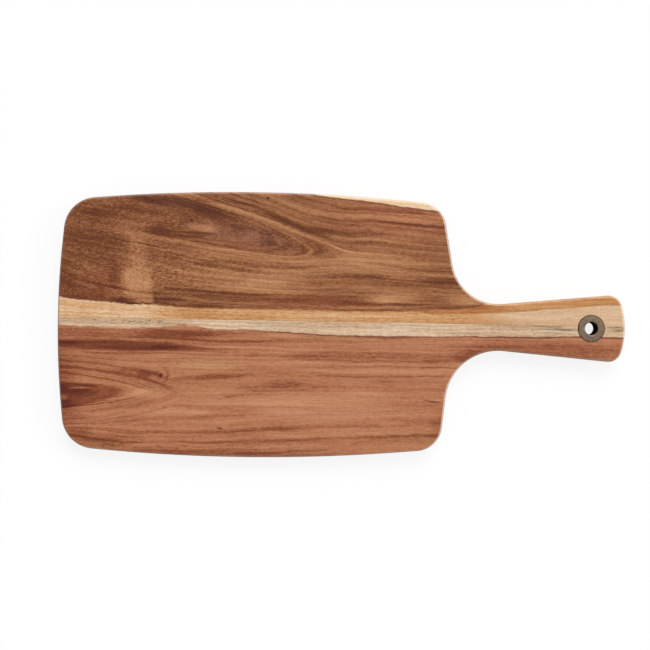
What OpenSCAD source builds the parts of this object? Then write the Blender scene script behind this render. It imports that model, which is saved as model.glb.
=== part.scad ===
// Paddle serving board: two edge-glued staves with a metal eyelet in the handle.
// The board lies flat, with the middle of its underside at the origin and its handle along +X.

/* [Board] */
// Length of the whole board, from the bowed far end to the tip of the handle
board_l = 430; // [380:1:520]
// Width across the middle of the bowed long sides
board_w = 201; // [170:1:240]
// Thickness of the wood
board_t = 15; // [12:0.5:24]
// Length of the serving area, from the far end to the shoulders at its widest
body_l = 289.5; // [250:0.5:320]
// Radius of the bow of the long sides
side_bow_r = 1345; // [1000:1:2400]
// Radius of the bow of the far end
far_bow_r = 650; // [350:1:1200]
// Radius of the two corners at the far end
far_corner_r = 25; // [10:0.5:32]
// Radius of the two corners beside the handle
near_corner_r = 20.5; // [10:0.5:28]
// Radius of the round-over along every edge
edge_r = 2.2; // [1:0.1:4]

/* [Handle] */
// Width between the handle's side lines at the shoulders, before these are rounded
handle_root_w = 27; // [22:0.2:34]
// Width between the handle's side lines at the tip
handle_tip_w = 52.8; // [44:0.2:60]
// Radius of the bow of the tip
tip_bow_r = 62; // [45:1:120]
// Radius of the two corners of the tip
tip_corner_r = 10.5; // [5:0.1:14]
// Lean of the upper shoulder towards the handle, in degrees
upper_lean = 9.9; // [4:0.1:14]
// Lean of the lower shoulder towards the handle, in degrees
lower_lean = 6.3; // [4:0.1:14]
// Radius of the curve from the upper shoulder into the handle
upper_shoulder_r = 35.5; // [20:0.5:42]
// Radius of the curve from the lower shoulder into the handle
lower_shoulder_r = 40; // [20:0.5:42]

/* [Glue line] */
// Distance of the glue line from the middle of the board, at the middle of its length
glue_y = 2.9; // [-8:0.1:8]
// Turn of the glue line from the board's length, in degrees
glue_turn = -0.33; // [-1:0.01:1]
// Thickness of the glue film
glue_t = 0.2; // [0.1:0.05:0.5]

/* [Eyelet] */
// Distance of the eyelet's middle from the tip of the handle
eyelet_from_tip = 26; // [20:0.5:45]
// Diameter of the open hole through the eyelet
hole_d = 9.5; // [6:0.1:11]
// Wall of the front half's tube
tube_wall = 0.8; // [0.5:0.05:1.2]
// Wall of the back half's collar round the tube
collar_wall = 0.8; // [0.5:0.05:1.2]
// Diameter of the two flanges
flange_d = 20.6; // [19:0.1:26]
// Thickness of a flange
flange_t = 1.2; // [1:0.1:2]
// Radius of the rounded rim of a flange
flange_rim_r = 0.7; // [0.3:0.05:0.8]
// Radius of the rounded mouth of the hole
mouth_r = 1; // [0.4:0.05:1]
// Height of the front flange above the serving face
flange_proud = 0.4; // [0.1:0.05:0.6]
// Depth of the back flange inside the underside
flange_sunk = 0.2; // [0.1:0.05:1]
// Gap between the tube and the collar, all round
tube_fit = 0.05; // [0.02:0.01:0.15]
// Gap between the metal and the wood, all round
seat_fit = 0.05; // [0.02:0.01:0.2]
// Gap between the collar's end and the front flange
collar_gap = 0.3; // [0.1:0.05:0.6]
// Depth of the tube's end inside the back flange
tube_recess = 0.3; // [0.1:0.05:0.6]

/* [Smoothness] */
// Largest gap between an outline arc and its chords
arc_gap = 0.03; // [0.02:0.005:0.1]
// Steps in the quarter round along an edge
edge_steps = 5; // [3:1:8]

/* [Hidden] */

dark_acacia = [0.55, 0.36, 0.25];
red_acacia = [0.67, 0.44, 0.32];
glue_amber = [0.75, 0.6, 0.42];
aged_bronze = [0.49, 0.43, 0.36];

// How far a cutter runs past the face that it cuts through
cut_past = 1;
// Turn of a quarter round, in degrees
quarter = 90;
// Sides drawn on a turned piece
turned_sides = 96;

far_x = -board_l / 2;
tip_x = board_l / 2;
shoulder_x = far_x + body_l;
body_middle_x = far_x + body_l / 2;
handle_l = tip_x - shoulder_x;

// Each bow is an arc between two corners. Its end tangents meet at a point beyond the bow's crown.
side_sag = pow(body_l / 2, 2) / (2 * side_bow_r);
far_sag = pow(board_w / 2, 2) / (2 * far_bow_r);
side_bow_turn = asin((body_l / 2 - far_sag - far_corner_r) / side_bow_r);
far_bow_turn = asin((board_w / 2 - side_sag - far_corner_r) / far_bow_r);
tip_bow_turn = asin((handle_tip_w / 2 - tip_corner_r) / tip_bow_r);
side_peak = [body_middle_x, board_w / 2 + bow_lift(side_bow_r, side_bow_turn)];
far_peak = [far_x - bow_lift(far_bow_r, far_bow_turn), 0];
tip_peak = [tip_x + bow_lift(tip_bow_r, tip_bow_turn), 0];

handle_flare = atan2((handle_tip_w - handle_root_w) / 2, handle_l);
handle_root = [shoulder_x, handle_root_w / 2];
body_corner = [shoulder_x, board_w / 2];
far_corner = crossing(far_peak, quarter - far_bow_turn, side_peak, side_bow_turn);
tip_corner = crossing(tip_peak, quarter + tip_bow_turn, handle_root, handle_flare);

eyelet_x = tip_x - eyelet_from_tip;
hole_r = hole_d / 2;
tube_r = hole_r + tube_wall;
collar_hole_r = tube_r + tube_fit;
collar_r = collar_hole_r + collar_wall;
flange_r = flange_d / 2;
front_seat_z = board_t + flange_proud - flange_t;
back_seat_z = flange_sunk + flange_t;

// Height of the crossing of a bow's end tangents above its crown
function bow_lift(r, turn) = r * (1 / cos(turn) - 1);

// Where a line through a at angle turn_a meets a line through b at angle turn_b
function crossing(a, turn_a, b, turn_b) =
    let (
        to_b = b - a,
        reach = cross(to_b, [cos(turn_b), sin(turn_b)]) / sin(turn_b - turn_a)
    )
    a + reach * [cos(turn_a), sin(turn_a)];

function mirrored(p) = [p[0], -p[1]];

// The upper half of the outline from the handle's tip corner to the far corner, as [corner, radius] pairs
function half_outline(lean, shoulder_r) =
    let (
        shoulder_turn = quarter + lean,
        neck = crossing(body_corner, shoulder_turn, handle_root, handle_flare),
        near_corner = crossing(body_corner, shoulder_turn, side_peak, -side_bow_turn)
    )
    [
        [tip_corner, tip_corner_r],
        [neck, shoulder_r],
        [near_corner, near_corner_r],
        [side_peak, side_bow_r],
        [far_corner, far_corner_r]
    ];

upper_half = half_outline(upper_lean, upper_shoulder_r);
lower_half = half_outline(lower_lean, lower_shoulder_r);
corners = concat(
    [[tip_peak, tip_bow_r]],
    upper_half,
    [[far_peak, far_bow_r]],
    [for (i = [len(lower_half) - 1:-1:0]) [mirrored(lower_half[i][0]), lower_half[i][1]]]
);

// One rounded corner as [point, outward normal] pairs, fine enough for arc_gap. The count of steps is
// even, so that the crown of a bow is one of the points.
function rounded_corner(before, here, after, r) =
    let (
        come = (here - before) / norm(here - before),
        leave = (after - here) / norm(after - here),
        turn = atan2(cross(come, leave), come * leave),
        side = sign(turn),
        start = here - come * r * tan(abs(turn) / 2),
        start_normal = [come[1], -come[0]],
        centre = start - side * r * start_normal,
        steps = 2 * ceil(abs(turn) / (4 * acos(1 - arc_gap / r)))
    )
    [
        for (i = [0:steps])
        let (
            a = turn * i / steps,
            normal = [
                cos(a) * start_normal[0] - sin(a) * start_normal[1],
                sin(a) * start_normal[0] + cos(a) * start_normal[1]
            ]
        )
        [centre + side * r * normal, normal]
    ];

outline = [
    for (i = [0:len(corners) - 1])
    each rounded_corner(
        corners[(i + len(corners) - 1) % len(corners)][0],
        corners[i][0],
        corners[(i + 1) % len(corners)][0],
        corners[i][1]
    )
];

// Inset and height of each ring of a slab, from its underside to its top
edge_rings = concat(
    [
        for (i = [0:edge_steps])
        let (a = quarter * i / edge_steps)
        [edge_r * (1 - sin(a)), edge_r * (1 - cos(a))]
    ],
    [
        for (i = [edge_steps:-1:0])
        let (a = quarter * i / edge_steps)
        [edge_r * (1 - sin(a)), board_t - edge_r * (1 - cos(a))]
    ]
);

// The whole board as one slab with its edges rounded over. Its flat faces fan out from a hub at the
// handle's root, a spot that every stretch of the outline can be seen from.
module rounded_slab() {
    n = len(outline);
    top = (len(edge_rings) - 1) * n;
    low_hub = len(edge_rings) * n;
    top_hub = low_hub + 1;
    polyhedron(
        points = concat(
            [
                for (ring = edge_rings, spot = outline)
                let (p = spot[0] - ring[0] * spot[1])
                [p[0], p[1], ring[1]]
            ],
            [[shoulder_x, 0, 0], [shoulder_x, 0, board_t]]
        ),
        faces = [
            for (i = [0:n - 1])
            let (next = (i + 1) % n)
            each concat(
                [[low_hub, i, next], [top_hub, top + next, top + i]],
                [
                    for (low = [0:n:top - n])
                    each [[low + i, low + n + i, low + n + next], [low + i, low + n + next, low + next]]
                ]
            )
        ]
    );
}

// A block over the whole board between two distances from the middle of the glue film
module glue_side(from, to) {
    translate([0, glue_y, 0])
        rotate(glue_turn)
            translate([-board_l, from, -cut_past])
                cube([2 * board_l, to - from, board_t + 2 * cut_past]);
}

// The round hole for the eyelet, with a seat for each flange, turned as one shape
module eyelet_hole() {
    seat_r = flange_r + seat_fit;
    bore_r = collar_r + seat_fit;
    translate([eyelet_x, 0, 0])
        rotate_extrude($fn = turned_sides)
            polygon([
                [0, -cut_past],
                [seat_r, -cut_past],
                [seat_r, back_seat_z],
                [bore_r, back_seat_z],
                [bore_r, front_seat_z],
                [seat_r, front_seat_z],
                [seat_r, board_t + cut_past],
                [0, board_t + cut_past]
            ]);
}

// A quarter round in the plane of a turned profile, from one angle to the next
function profile_round(centre, r, from) =
    [
        for (i = [0:edge_steps])
        let (a = from - quarter * i / edge_steps)
        centre + r * [cos(a), sin(a)]
    ];

module upper_stave() {
    color(dark_acacia)
        difference() {
            rounded_slab();
            glue_side(-board_w, glue_t / 2);
            eyelet_hole();
        }
}

module lower_stave() {
    color(red_acacia)
        difference() {
            rounded_slab();
            glue_side(-glue_t / 2, board_w);
            eyelet_hole();
        }
}

module glue_line() {
    color(glue_amber)
        difference() {
            intersection() {
                rounded_slab();
                glue_side(-glue_t / 2, glue_t / 2);
            }
            eyelet_hole();
        }
}

// Flange and tube in one, turned round the hole's axis
module eyelet_front() {
    crown_z = front_seat_z + flange_t;
    color(aged_bronze)
        translate([eyelet_x, 0, 0])
            rotate_extrude($fn = turned_sides)
                polygon(concat(
                    profile_round([hole_r + mouth_r, crown_z - mouth_r], mouth_r, 2 * quarter),
                    profile_round([flange_r - flange_rim_r, crown_z - flange_rim_r], flange_rim_r, quarter),
                    [
                        [flange_r, front_seat_z],
                        [tube_r, front_seat_z],
                        [tube_r, flange_sunk + tube_recess],
                        [hole_r, flange_sunk + tube_recess]
                    ]
                ));
}

// Flange and collar in one, turned round the hole's axis
module eyelet_back() {
    color(aged_bronze)
        translate([eyelet_x, 0, 0])
            rotate_extrude($fn = turned_sides)
                polygon(concat(
                    [
                        [collar_hole_r, front_seat_z - collar_gap],
                        [collar_r, front_seat_z - collar_gap],
                        [collar_r, back_seat_z],
                        [flange_r, back_seat_z]
                    ],
                    profile_round([flange_r - flange_rim_r, flange_sunk + flange_rim_r], flange_rim_r, 0),
                    [[collar_hole_r, flange_sunk]]
                ));
}

upper_stave();
lower_stave();
glue_line();
eyelet_front();
eyelet_back();
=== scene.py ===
"""Paddle serving board: two edge-glued acacia staves, their glue film and a bronze eyelet.

Sizes in millimetres carry the factor MM. Wood figure is laid out in millimetres on the serving face,
with X along the board and Y across it.
"""
import math
from collections import namedtuple

import bmesh
import bpy
from mathutils import Color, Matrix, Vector


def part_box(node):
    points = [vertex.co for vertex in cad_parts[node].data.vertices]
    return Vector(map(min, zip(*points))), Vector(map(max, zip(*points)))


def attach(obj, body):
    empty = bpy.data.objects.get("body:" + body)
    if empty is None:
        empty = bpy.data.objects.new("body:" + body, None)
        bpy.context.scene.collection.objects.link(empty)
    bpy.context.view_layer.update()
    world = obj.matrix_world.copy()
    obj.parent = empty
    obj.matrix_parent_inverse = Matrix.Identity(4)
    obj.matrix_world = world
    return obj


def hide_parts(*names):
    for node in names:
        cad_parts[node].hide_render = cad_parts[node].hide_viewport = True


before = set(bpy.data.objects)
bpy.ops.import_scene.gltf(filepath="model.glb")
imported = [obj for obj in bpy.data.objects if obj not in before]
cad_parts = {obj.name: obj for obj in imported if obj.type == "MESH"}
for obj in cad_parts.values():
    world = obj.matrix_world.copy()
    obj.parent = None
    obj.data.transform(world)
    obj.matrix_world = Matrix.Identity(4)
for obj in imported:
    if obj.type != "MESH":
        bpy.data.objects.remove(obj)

MM = 0.001
QUARTER = math.pi / 2
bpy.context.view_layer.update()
BODY = "root"

# Sizes read from the frame
UPPER_LOW, UPPER_HIGH = (Vector(corner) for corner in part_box("upper_stave"))
LOWER_LOW, LOWER_HIGH = (Vector(corner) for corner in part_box("lower_stave"))
FRONT_LOW, FRONT_HIGH = (Vector(corner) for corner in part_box("eyelet_front"))
BACK_LOW, BACK_HIGH = (Vector(corner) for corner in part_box("eyelet_back"))
FAR_X = min(UPPER_LOW.x, LOWER_LOW.x)
TIP_X = max(UPPER_HIGH.x, LOWER_HIGH.x)
HALF_W = max(UPPER_HIGH.y, -LOWER_LOW.y)
BOARD_T = UPPER_HIGH.z
EYELET_X = (FRONT_LOW.x + FRONT_HIGH.x) / 2
FLANGE_R = (FRONT_HIGH.x - FRONT_LOW.x) / 2
CROWN_Z = FRONT_HIGH.z
TUBE_END_Z = FRONT_LOW.z
BACK_FACE_Z = BACK_LOW.z
COLLAR_END_Z = BACK_HIGH.z

# Driving sizes of the outline
BODY_L = 289.5 * MM
SIDE_BOW_R = 1345 * MM
FAR_BOW_R = 650 * MM
FAR_CORNER_R = 25 * MM
NEAR_CORNER_R = 20.5 * MM
EDGE_R = 2.2 * MM
EDGE_LAND = 0.5 * MM
EDGE_STEPS = 8
HANDLE_ROOT_W = 27 * MM
HANDLE_TIP_W = 52.8 * MM
TIP_BOW_R = 62 * MM
TIP_CORNER_R = 10.5 * MM
UPPER_LEAN = math.radians(9.9)
LOWER_LEAN = math.radians(6.3)
UPPER_SHOULDER_R = 35.5 * MM
LOWER_SHOULDER_R = 40 * MM
ARC_GAP = 0.008 * MM

# Glue film and eyelet
GLUE_Y = 2.9 * MM
GLUE_TURN = math.radians(-0.33)
GLUE_T = 0.2 * MM
HOLE_R = 4.75 * MM
TUBE_WALL = 0.8 * MM
COLLAR_WALL = 0.8 * MM
TUBE_FIT = 0.05 * MM
SEAT_FIT = 0.05 * MM
FLANGE_T = 1.2 * MM
FLANGE_RIM_R = 0.7 * MM
FLANGE_DROP = 0.12 * MM
MOUTH_R = 1 * MM
TURNED_SIDES = 128
ROUND_STEPS = 8
SHARP_ANGLE = math.radians(28)
WELD = 0.002 * MM

TUBE_R = HOLE_R + TUBE_WALL
COLLAR_HOLE_R = TUBE_R + TUBE_FIT
COLLAR_R = COLLAR_HOLE_R + COLLAR_WALL
BORE_R = COLLAR_R + SEAT_FIT
SEAT_R = FLANGE_R + SEAT_FIT
FRONT_SEAT_Z = CROWN_Z - FLANGE_T
BACK_SEAT_Z = BACK_FACE_Z + FLANGE_T


# Node helpers

NOISE_MIDDLE = 0.5
SCREEN_WHITE = 255

# Places of a Mix node's colour sockets
MIX_FIRST = 6
MIX_SECOND = 7
MIX_COLOUR = 2

Ease = namedtuple("Ease", "start end amount", defaults=(1.0,))
Edge = namedtuple("Edge", "low high points")


def arithmetic(operation, swapped=False):
    """An operator of Field, made with a Math node."""
    def method(self, other):
        return calc(operation, other, self) if swapped else calc(operation, self, other)
    return method


class Field:
    """A number in a node tree. Arithmetic on it adds Math nodes to that tree."""

    def __init__(self, socket):
        self.socket = socket
        self.tree = socket.id_data

    def __neg__(self):
        return self * -1.0

    __add__ = arithmetic("ADD")
    __radd__ = arithmetic("ADD", swapped=True)
    __sub__ = arithmetic("SUBTRACT")
    __rsub__ = arithmetic("SUBTRACT", swapped=True)
    __mul__ = arithmetic("MULTIPLY")
    __rmul__ = arithmetic("MULTIPLY", swapped=True)
    __truediv__ = arithmetic("DIVIDE")


def new_node(tree, kind, **settings):
    node = tree.nodes.new(kind)
    for name, value in settings.items():
        setattr(node, name, value)
    return node


def feed(socket, value):
    """Link a tree value into a socket, or write a plain value on it."""
    if isinstance(value, Field):
        value = value.socket
    if isinstance(value, bpy.types.NodeSocket):
        value.id_data.links.new(value, socket)
    else:
        socket.default_value = value


def wired(tree, kind, inputs, **settings):
    """A node with its inputs fed by name. Returns its first output."""
    node = new_node(tree, kind, **settings)
    for label, value in inputs.items():
        feed(node.inputs[label], value)
    return node.outputs[0]


def calc(operation, *values):
    tree = next(value.tree for value in values if isinstance(value, Field))
    node = new_node(tree, "ShaderNodeMath", operation=operation)
    for socket, value in zip(node.inputs, values):
        feed(socket, value)
    return Field(node.outputs[0])


def smooth(value, start, end):
    """Ease from 0 at start to 1 at end. Works on plain numbers and on fields."""
    fields = [item for item in (value, start, end) if isinstance(item, Field)]
    if not fields:
        share = min(max((value - start) / (end - start), 0), 1)
        return share * share * (3 - 2 * share)
    limits = {"Value": value, "From Min": start, "From Max": end}
    return Field(wired(fields[0].tree, "ShaderNodeMapRange", limits, interpolation_type="SMOOTHSTEP"))


def eased(value, ease):
    """Nothing at the start of an ease, and its whole amount at the end."""
    return smooth(value, ease.start, ease.end) * ease.amount


def between(value, low, high):
    """Keep a field between two plain limits."""
    return calc("MINIMUM", calc("MAXIMUM", value, low), high)


def either(operation, plain):
    """A function of one number that works on plain numbers and on fields."""
    return lambda value: calc(operation, value) if isinstance(value, Field) else plain(value)


absolute = either("ABSOLUTE", abs)
sign = either("SIGN", lambda value: math.copysign(1, value))
root = either("SQRT", math.sqrt)
exponent = either("EXPONENT", math.exp)


def below_zero(value):
    return calc("LESS_THAN", value, 0.0) if isinstance(value, Field) else float(value < 0)


def soft_ramp(value, ease):
    """0 below zero and the value itself above it, with a soft bend between."""
    return (value + root(value * value + ease * ease)) / 2


def bell(value):
    """A bell curve, 1 where the value is 0."""
    return exponent(-(value * value))


def vector(x, y, z):
    tree = next(part.tree for part in (x, y, z) if isinstance(part, Field))
    return wired(tree, "ShaderNodeCombineXYZ", {"X": x, "Y": y, "Z": z})


def noise(place, detail, roughness=0.5):
    inputs = {"Vector": place, "Scale": 1.0, "Detail": detail, "Roughness": roughness}
    return Field(wired(place.id_data, "ShaderNodeTexNoise", inputs))


def swing(place, detail, roughness=0.5):
    """Noise that swings evenly about zero."""
    return noise(place, detail, roughness) - NOISE_MIDDLE


def paint(red, green, blue):
    """A colour from its screen values, 0 to 255, as linear light with full alpha."""
    screen = Color([level / SCREEN_WHITE for level in (red, green, blue)])
    return (*screen.from_srgb_to_scene_linear(), 1.0)


def ramp(factor, stops):
    node = new_node(factor.tree, "ShaderNodeValToRGB")
    feed(node.inputs["Fac"], factor)
    elements = node.color_ramp.elements
    while len(elements) < len(stops):
        elements.new(0.5)
    for element, (place, colour) in zip(elements, stops):
        element.position = place
        element.color = colour
    return node.outputs["Color"]


def mix(factor, first, second):
    node = new_node(factor.tree, "ShaderNodeMix", data_type="RGBA")
    feed(node.inputs[0], factor)
    feed(node.inputs[MIX_FIRST], first)
    feed(node.inputs[MIX_SECOND], second)
    return node.outputs[MIX_COLOUR]


def boundary(along, edge):
    """A drawn edge that runs along the board: its Y for each X, between two limits of Y."""
    first_x = edge.points[0][0]
    span_x = edge.points[-1][0] - first_x
    span_y = edge.high - edge.low
    shares = [((x - first_x) / span_x, (y - edge.low) / span_y) for x, y in edge.points]
    node = new_node(along.tree, "ShaderNodeFloatCurve")
    curve = node.mapping.curves[0]
    curve.points[0].location = shares[0]
    curve.points[1].location = shares[-1]
    for share in shares[1:-1]:
        curve.points.new(*share)
    node.mapping.update()
    feed(node.inputs["Value"], (along - first_x) / span_x)
    return Field(node.outputs["Value"]) * span_y + edge.low


def group_tree(name, kind, inputs, outputs):
    """A node group with named sockets. Returns the tree, its inputs by name and its output node."""
    tree = bpy.data.node_groups.new(name, kind)
    for label, socket_type in inputs.items():
        tree.interface.new_socket(label, in_out="INPUT", socket_type="NodeSocket" + socket_type)
    for label, socket_type in outputs.items():
        tree.interface.new_socket(label, in_out="OUTPUT", socket_type="NodeSocket" + socket_type)
    entry = tree.nodes.new("NodeGroupInput")
    result = tree.nodes.new("NodeGroupOutput")
    numbers = ("Float", "Int")
    ports = {
        label: Field(entry.outputs[label]) if socket_type in numbers else entry.outputs[label]
        for label, socket_type in inputs.items()
    }
    return tree, ports, result


def shader_group(name, inputs, outputs):
    """A shader group whose sockets are all plain numbers."""
    inputs = dict.fromkeys(inputs, "Float")
    outputs = dict.fromkeys(outputs, "Float")
    return group_tree(name, "ShaderNodeTree", inputs, outputs)


def place_group(tree, group, **inputs):
    """Put a shader group in a tree. Input names are written with _ for a space."""
    node = new_node(tree, "ShaderNodeGroup", node_tree=group)
    for label, value in inputs.items():
        feed(node.inputs[label.replace("_", " ")], value)
    return {socket.name: Field(socket) for socket in node.outputs}


# Outline of the board, as corners with a radius each

Corner = namedtuple("Corner", "point radius")


def direction(turn):
    return Vector((math.cos(turn), math.sin(turn)))


def crossing(a, turn_a, b, turn_b):
    """Where a line through a at one angle meets a line through b at another."""
    to_b = b - a
    along_b = direction(turn_b)
    reach = to_b.cross(along_b) / math.sin(turn_b - turn_a)
    return a + reach * direction(turn_a)


def bow_lift(radius, turn):
    """Height of the crossing of a bow's end tangents above its crown."""
    return radius * (1 / math.cos(turn) - 1)


def outline_corners():
    """All corners in turn, from the tip over the upper side and back along the lower."""
    shoulder_x = FAR_X + BODY_L
    side_sag = (BODY_L / 2) ** 2 / (2 * SIDE_BOW_R)
    far_sag = HALF_W ** 2 / (2 * FAR_BOW_R)
    side_turn = math.asin((BODY_L / 2 - far_sag - FAR_CORNER_R) / SIDE_BOW_R)
    far_turn = math.asin((HALF_W - side_sag - FAR_CORNER_R) / FAR_BOW_R)
    tip_turn = math.asin((HANDLE_TIP_W / 2 - TIP_CORNER_R) / TIP_BOW_R)
    side_peak = Vector((FAR_X + BODY_L / 2, HALF_W + bow_lift(SIDE_BOW_R, side_turn)))
    far_peak = Vector((FAR_X - bow_lift(FAR_BOW_R, far_turn), 0))
    tip_peak = Vector((TIP_X + bow_lift(TIP_BOW_R, tip_turn), 0))
    flare = math.atan2((HANDLE_TIP_W - HANDLE_ROOT_W) / 2, TIP_X - shoulder_x)
    handle_root = Vector((shoulder_x, HANDLE_ROOT_W / 2))
    body_corner = Vector((shoulder_x, HALF_W))
    tip_corner = crossing(tip_peak, QUARTER + tip_turn, handle_root, flare)
    far_corner = crossing(far_peak, QUARTER - far_turn, side_peak, side_turn)

    def half(lean, shoulder_r):
        neck = crossing(body_corner, QUARTER + lean, handle_root, flare)
        near_corner = crossing(body_corner, QUARTER + lean, side_peak, -side_turn)
        return [
            Corner(tip_corner, TIP_CORNER_R),
            Corner(neck, shoulder_r),
            Corner(near_corner, NEAR_CORNER_R),
            Corner(side_peak, SIDE_BOW_R),
            Corner(far_corner, FAR_CORNER_R),
        ]

    lower = [
        Corner(Vector((spot.point.x, -spot.point.y)), spot.radius)
        for spot in reversed(half(LOWER_LEAN, LOWER_SHOULDER_R))
    ]
    upper = half(UPPER_LEAN, UPPER_SHOULDER_R)
    return [Corner(tip_peak, TIP_BOW_R), *upper, Corner(far_peak, FAR_BOW_R), *lower]


def corner_mesh():
    """The outline's corners as a closed wire, with each corner's radius and count of steps."""
    corners = outline_corners()
    count = len(corners)
    mesh = bpy.data.meshes.new("board_corners")
    points = [(spot.point.x, spot.point.y, 0) for spot in corners]
    mesh.from_pydata(points, [(i, (i + 1) % count) for i in range(count)], [])
    radius = mesh.attributes.new("corner_radius", "FLOAT", "POINT")
    steps = mesh.attributes.new("corner_steps", "INT", "POINT")
    for i, spot in enumerate(corners):
        come = spot.point - corners[i - 1].point
        leave = corners[(i + 1) % count].point - spot.point
        step = 2 * math.acos(1 - ARC_GAP / spot.radius)
        radius.data[i].value = spot.radius
        steps.data[i].value = 2 * math.ceil(come.angle(leave) / step / 2) - 1
    return mesh


# Geometry Nodes trees

def kept_value(tree, kind, name):
    """A value that the outline's corners carry."""
    return wired(tree, "GeometryNodeInputNamedAttribute", {"Name": name}, data_type=kind)


def moved(tree, geometry, offset):
    return wired(tree, "GeometryNodeTransform", {"Geometry": geometry, "Translation": offset})


def joined(tree, *parts):
    join = new_node(tree, "GeometryNodeJoinGeometry")
    for part in parts:
        feed(join.inputs[0], part)
    return join.outputs[0]


def circle_wire(tree, sides, radius):
    return wired(tree, "GeometryNodeCurvePrimitiveCircle", {"Resolution": sides, "Radius": radius})


def swept(tree, path, section):
    """A section wire swept along a flat path."""
    upright = wired(tree, "GeometryNodeSetCurveNormal", {"Curve": path}, mode="Z_UP")
    profile = wired(tree, "GeometryNodeMeshToCurve", {"Mesh": section})
    return wired(tree, "GeometryNodeCurveToMesh", {"Curve": upright, "Profile Curve": profile})


def finish_tree(tree, geometry, material, result):
    realized = wired(tree, "GeometryNodeRealizeInstances", {"Geometry": geometry})
    dressed = wired(tree, "GeometryNodeSetMaterial", {"Geometry": realized, "Material": material})
    feed(result.inputs["Geometry"], dressed)


def slab_tree():
    """A rounded outline swept with a half-round edge and closed by two flat faces with a hole."""
    tree, given, result = group_tree(
        "rounded_slab",
        "GeometryNodeTree",
        {
            "Geometry": "Geometry",
            "Thickness": "Float",
            "Edge Radius": "Float",
            "Edge Land": "Float",
            "Edge Steps": "Int",
            "Hole X": "Float",
            "Hole Radius": "Float",
            "Hole Sides": "Int",
            "Weld": "Float",
            "Material": "Material",
        },
        {"Geometry": "Geometry"},
    )
    steps = given["Edge Steps"]
    edge_r = given["Edge Radius"]
    thickness = given["Thickness"]
    outline = wired(
        tree,
        "GeometryNodeFilletCurve",
        {
            "Curve": wired(tree, "GeometryNodeMeshToCurve", {"Mesh": given["Geometry"]}),
            "Radius": kept_value(tree, "FLOAT", "corner_radius"),
            "Count": kept_value(tree, "INT", "corner_steps"),
            "Limit Radius": False,
        },
        mode="POLY",
    )

    # The edge's section starts on the top face, rolls over, drops and rolls under
    index = Field(wired(tree, "GeometryNodeInputIndex", {}))
    middle = steps + 1.5
    over = between((index - 1) / steps, 0, 1) * QUARTER
    under = between((index - 2 - steps) / steps, 0, 1) * QUARTER
    on_land = calc("COMPARE", absolute(index - middle), middle, 0.1)
    in_lower = calc("GREATER_THAN", index, middle)
    inset = edge_r * (2 - calc("SINE", over) - calc("COSINE", under)) + on_land * given["Edge Land"]
    drop = edge_r * (1 - calc("COSINE", over) + calc("SINE", under))
    height = thickness - drop - in_lower * (thickness - 2 * edge_r)
    points = wired(tree, "GeometryNodeMeshLine", {"Count": 2 * steps + 4})
    place = vector(-inset, -height, 0.0)
    section = wired(tree, "GeometryNodeSetPosition", {"Geometry": points, "Position": place})
    wall = swept(tree, outline, section)

    # The wall's upper rim and the hole bound both flat faces
    neighbours = Field(wired(tree, "GeometryNodeInputMeshEdgeNeighbors", {}))
    position = new_node(tree, "ShaderNodeSeparateXYZ")
    feed(position.inputs[0], wired(tree, "GeometryNodeInputPosition", {}))
    open_edge = calc("LESS_THAN", neighbours, 1.5)
    on_top = calc("GREATER_THAN", Field(position.outputs["Z"]), thickness / 2)
    rim = wired(tree, "GeometryNodeMeshToCurve", {"Mesh": wall, "Selection": open_edge * on_top})
    circle = circle_wire(tree, given["Hole Sides"], given["Hole Radius"])
    hole = moved(tree, circle, vector(given["Hole X"], 0.0, 0.0))
    flat = wired(tree, "GeometryNodeFillCurve", {"Curve": joined(tree, hole, rim)}, mode="TRIANGLES")
    top = moved(tree, flat, vector(0.0, 0.0, thickness))
    bottom = wired(tree, "GeometryNodeFlipFaces", {"Mesh": flat})
    whole = joined(tree, wall, top, bottom)
    weld = wired(tree, "GeometryNodeMergeByDistance", {"Geometry": whole, "Distance": given["Weld"]})
    finish_tree(tree, weld, given["Material"], result)
    return tree


def turned_tree():
    """A section wire, drawn as radius and depth, swept round an upright axis."""
    tree, given, result = group_tree(
        "turned_ring",
        "GeometryNodeTree",
        {
            "Geometry": "Geometry",
            "Axis X": "Float",
            "Path Radius": "Float",
            "Sides": "Int",
            "Material": "Material",
        },
        {"Geometry": "Geometry"},
    )
    path_r = given["Path Radius"]
    section = moved(tree, given["Geometry"], vector(-path_r, 0.0, 0.0))
    ring = swept(tree, circle_wire(tree, given["Sides"], path_r), section)
    placed = moved(tree, ring, vector(given["Axis X"], 0.0, 0.0))
    finish_tree(tree, placed, given["Material"], result)
    return tree


def made_by(tree, source, **inputs):
    """Run a Geometry Nodes tree on a mesh and return the result as a plain mesh."""
    holder = bpy.data.objects.new(source.name, source)
    bpy.context.collection.objects.link(holder)
    modifier = holder.modifiers.new(tree.name, "NODES")
    modifier.node_group = tree
    for item in tree.interface.items_tree:
        label = item.name.replace(" ", "_")
        if item.in_out == "INPUT" and label in inputs:
            modifier[item.identifier] = inputs[label]
    evaluated = holder.evaluated_get(bpy.context.evaluated_depsgraph_get())
    mesh = bpy.data.meshes.new_from_object(evaluated)
    holder.modifiers.remove(modifier)
    bpy.data.objects.remove(holder)
    return mesh


# Meshes of the pieces

def section_wire(name, points, closed):
    """A turned section as a wire. Each point is a radius and a height."""
    count = len(points)
    mesh = bpy.data.meshes.new(name)
    edges = [(i, (i + 1) % count) for i in range(count if closed else count - 1)]
    mesh.from_pydata([(r, -z, 0) for r, z in points], edges, [])
    return mesh


def quarter_round(centre_r, centre_z, radius, start):
    """A quarter of a circle in a turned section, clockwise from a start angle."""
    turns = (start - QUARTER * i / ROUND_STEPS for i in range(ROUND_STEPS + 1))
    return [(centre_r + radius * math.cos(a), centre_z + radius * math.sin(a)) for a in turns]


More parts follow.
